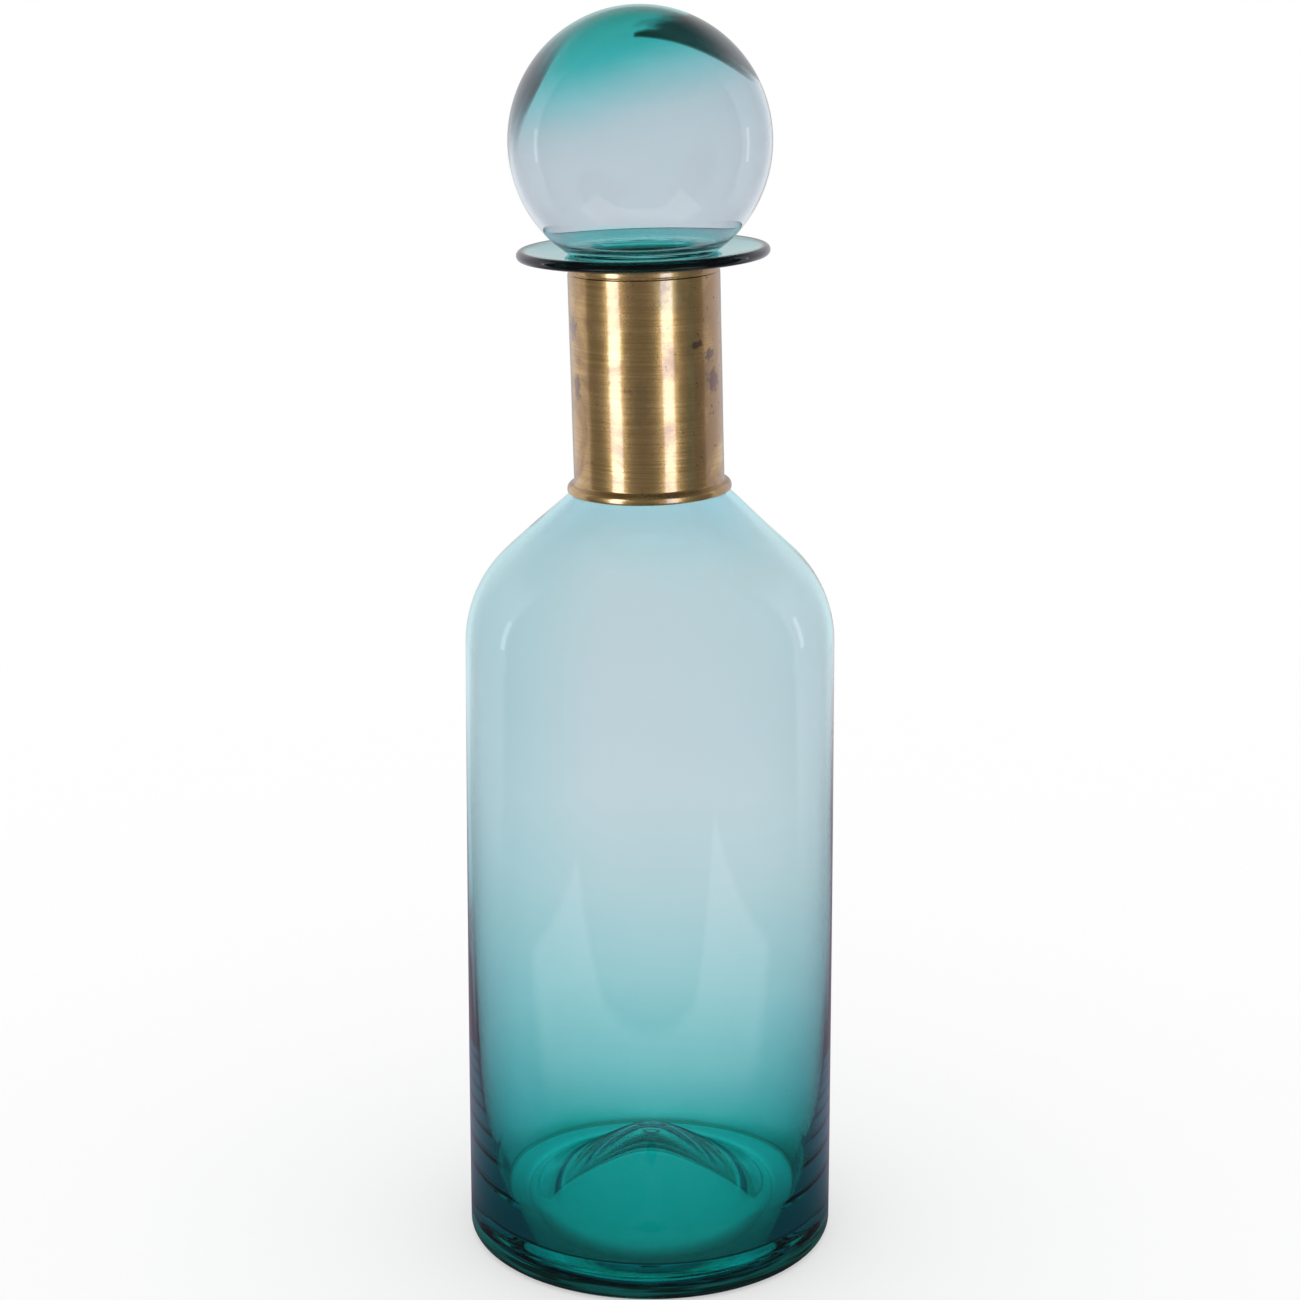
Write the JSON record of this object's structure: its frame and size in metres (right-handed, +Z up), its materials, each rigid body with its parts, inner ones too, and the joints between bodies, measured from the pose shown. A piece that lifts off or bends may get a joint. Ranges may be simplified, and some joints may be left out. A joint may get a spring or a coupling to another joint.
{
  "type": "glass bottle with ball stopper",
  "caption": "Tall blown glass bottle with a round shoulder, flared lip and kicked-up floor, closed by a hollow glass ball stopper, with an aged brass collar round the neck.",
  "frame": {"origin": "on the table, under the middle of the body's foot", "axes": "+Z up along the body, -Y towards the viewer of the picture, +X to their right; the neck leans towards -X"},
  "size_m": [0.1302, 0.1302, 0.4334],
  "materials": {
    "glass": "clear blown glass, pale grey-blue with teal at the foot, lip and crown",
    "aged_brass": "aged, finely brushed",
    "solder": "dull",
    "setting_cement": "matte"
  },
  "bodies": {
    "bottle": {"glass_bottle": "glass", "brass_collar": "aged_brass", "collar_seam": "solder", "collar_bedding_lower": "setting_cement", "collar_bedding_upper": "setting_cement"},
    "stopper": {"ball_stopper": "glass"}
  },
  "joints": [
    {"name": "stopper_lift", "type": "slide", "parent": "bottle", "child": "stopper", "axis": [-0.0262, 0, 0.9997], "range_m": [0, 0.12]}
  ]
}
